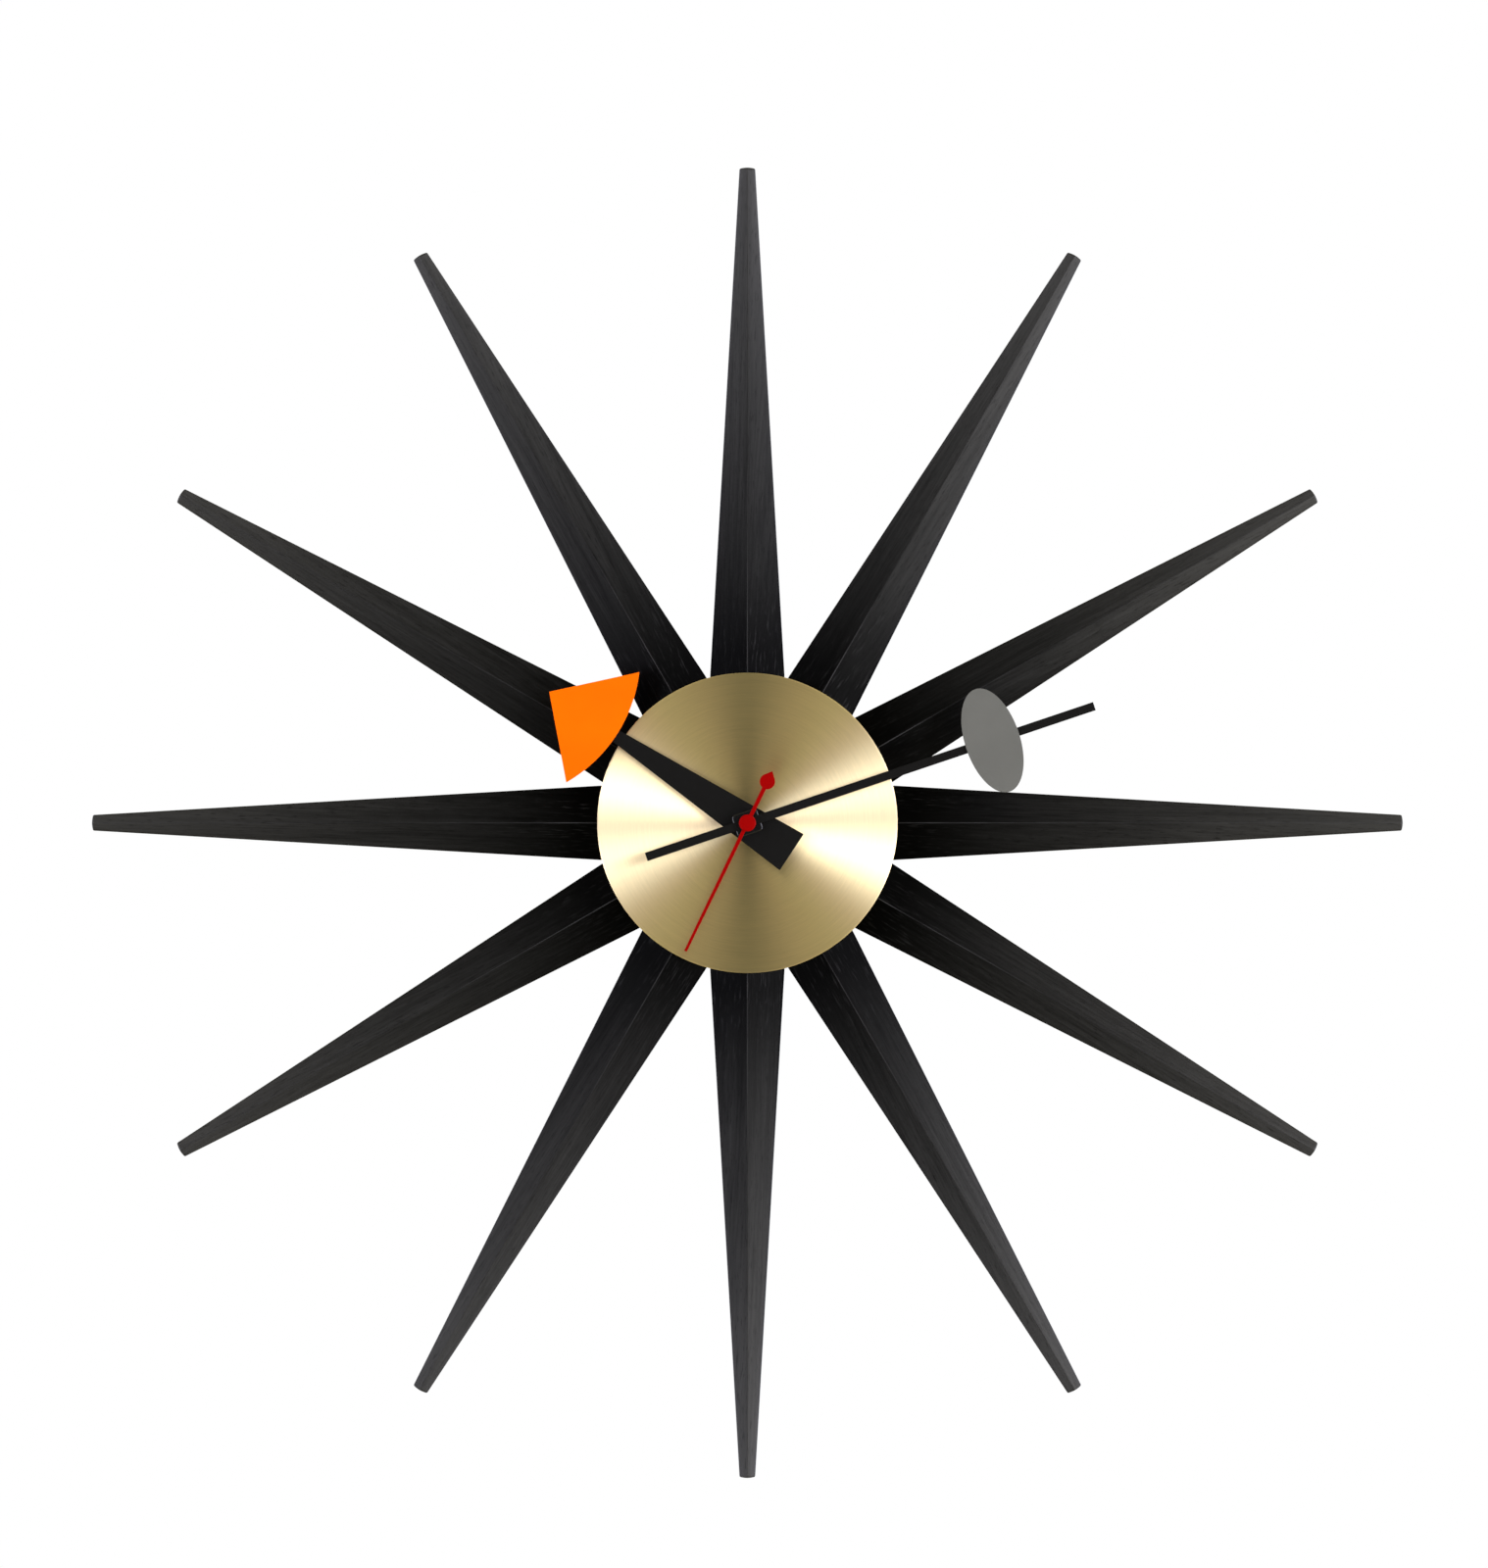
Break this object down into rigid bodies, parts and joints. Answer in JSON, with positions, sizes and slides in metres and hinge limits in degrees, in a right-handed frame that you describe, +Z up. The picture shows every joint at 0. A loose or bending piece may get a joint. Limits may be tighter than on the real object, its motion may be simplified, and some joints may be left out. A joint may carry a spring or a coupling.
{
  "type": "sunburst wall clock",
  "caption": "Wall clock with tapered black wooden rays around a brushed brass dial, a flagged hour hand, an oval minute hand, a red second hand and a battery movement in a hub drum.",
  "frame": {"origin": "where the wall screw bears at the top of the hanger's keyhole, on the wall plane; the hands' axis is 35.6 mm below it", "axes": "+Z up, the dial faces -Y, +Y goes into the wall, +X to the viewer's right"},
  "size_m": [0.4696, 0.0454, 0.4696],
  "materials": {
    "black_ash": "satin black lacquer over open-grained ash",
    "dial_brass": "round-brushed and clear lacquered",
    "zinc_steel": "bright zinc plated",
    "black_steel": "fine-textured black powder coat",
    "hand_black": "satin black paint",
    "flag_orange": "matt orange paint",
    "oval_grey": "matt warm grey paint",
    "second_red": "satin red paint",
    "case_plastic": "fine-grained moulding",
    "gear_plastic": "natural acetal",
    "gear_brass": "turned",
    "rubber": "matt",
    "board_green": "solder mask",
    "coil_copper": "enamelled wire",
    "magnet_grey": "bonded magnet",
    "cell_wrap": "plain printed sleeve without marks"
  },
  "bodies": {
    "clock_frame": {"ray_01": "black_ash", "ray_02": "black_ash", "ray_03": "black_ash", "ray_04": "black_ash", "ray_05": "black_ash", "ray_06": "black_ash", "ray_07": "black_ash", "ray_08": "black_ash", "ray_09": "black_ash", "ray_10": "black_ash", "ray_11": "black_ash", "ray_12": "black_ash", "ray_screw_01": "zinc_steel", "ray_screw_02": "zinc_steel", "ray_screw_03": "zinc_steel", "ray_screw_04": "zinc_steel", "ray_screw_05": "zinc_steel", "ray_screw_06": "zinc_steel", "ray_screw_07": "zinc_steel", "ray_screw_08": "zinc_steel", "ray_screw_09": "zinc_steel", "ray_screw_10": "zinc_steel", "ray_screw_11": "zinc_steel", "ray_screw_12": "zinc_steel", "hub_drum": "black_steel", "dial": "dial_brass", "dial_nut_01": "zinc_steel", "dial_nut_02": "zinc_steel", "dial_nut_03": "zinc_steel", "hanger_plate": "zinc_steel", "hanger_screw_01": "zinc_steel", "hanger_screw_02": "zinc_steel", "movement_case": "case_plastic", "movement_lid": "case_plastic", "rubber_gasket": "rubber", "bushing_washer": "zinc_steel", "bushing_nut": "gear_brass", "battery_cell": "cell_wrap", "battery_contact_positive": "zinc_steel", "battery_contact_negative": "zinc_steel", "circuit_board": "board_green", "quartz_crystal": "zinc_steel", "stator": "zinc_steel", "coil": "coil_copper", "train_plate": "gear_plastic"},
    "second_train": {"second_wheel": "gear_brass", "second_hand": "second_red"},
    "rotor": {"rotor": "magnet_grey"},
    "fifth_wheel": {"fifth_wheel": "gear_plastic"},
    "third_wheel": {"third_wheel": "gear_plastic"},
    "centre_wheel": {"centre_wheel": "gear_brass"},
    "minute_train": {"cannon_pinion": "gear_brass", "minute_hand_bar": "hand_black", "minute_hand_oval": "oval_grey", "minute_hub_plate": "hand_black"},
    "motion_wheel": {"motion_wheel": "gear_plastic"},
    "hour_train": {"hour_wheel": "gear_plastic", "hour_hand_bar": "hand_black", "hour_hand_flag": "flag_orange"},
    "setting_knob": {"setting_knob": "gear_plastic"}
  },
  "joints": [
    {"name": "second_hand_turn", "type": "hinge", "parent": "clock_frame", "child": "second_train", "pos_m": [0, -0.015, -0.0356], "axis": [0, 1, 0], "continuous": true},
    {"name": "rotor_turn", "type": "hinge", "parent": "clock_frame", "child": "rotor", "pos_m": [-0.01434, -0.015, -0.02732], "axis": [0, 1, 0], "continuous": true},
    {"name": "fifth_wheel_turn", "type": "hinge", "parent": "clock_frame", "child": "fifth_wheel", "pos_m": [-0.00779, -0.015, -0.0311], "axis": [0, 1, 0], "continuous": true},
    {"name": "third_wheel_turn", "type": "hinge", "parent": "clock_frame", "child": "third_wheel", "pos_m": [0.00795, -0.015, -0.03101], "axis": [0, 1, 0], "continuous": true},
    {"name": "centre_wheel_turn", "type": "hinge", "parent": "clock_frame", "child": "centre_wheel", "pos_m": [0, -0.015, -0.0356], "axis": [0, 1, 0], "continuous": true},
    {"name": "minute_hand_turn", "type": "hinge", "parent": "clock_frame", "child": "minute_train", "pos_m": [0, -0.015, -0.0356], "axis": [0, 1, 0], "continuous": true},
    {"name": "motion_wheel_turn", "type": "hinge", "parent": "clock_frame", "child": "motion_wheel", "pos_m": [0, -0.015, -0.026], "axis": [0, 1, 0], "continuous": true},
    {"name": "hour_hand_turn", "type": "hinge", "parent": "clock_frame", "child": "hour_train", "pos_m": [0, -0.015, -0.0356], "axis": [0, 1, 0], "continuous": true},
    {"name": "setting_knob_turn", "type": "hinge", "parent": "clock_frame", "child": "setting_knob", "pos_m": [0.00935, -0.015, -0.0206], "axis": [0, 1, 0], "continuous": true}
  ],
  "couplings": [
    {"joint": "rotor_turn", "follows": "second_hand_turn", "ratio": 30},
    {"joint": "fifth_wheel_turn", "follows": "second_hand_turn", "ratio": -5},
    {"joint": "third_wheel_turn", "follows": "second_hand_turn", "ratio": -0.125},
    {"joint": "centre_wheel_turn", "follows": "second_hand_turn", "ratio": 0.016667},
    {"joint": "motion_wheel_turn", "follows": "minute_hand_turn", "ratio": -0.33333},
    {"joint": "hour_hand_turn", "follows": "minute_hand_turn", "ratio": 0.083333},
    {"joint": "setting_knob_turn", "follows": "minute_hand_turn", "ratio": 0.66667}
  ]
}
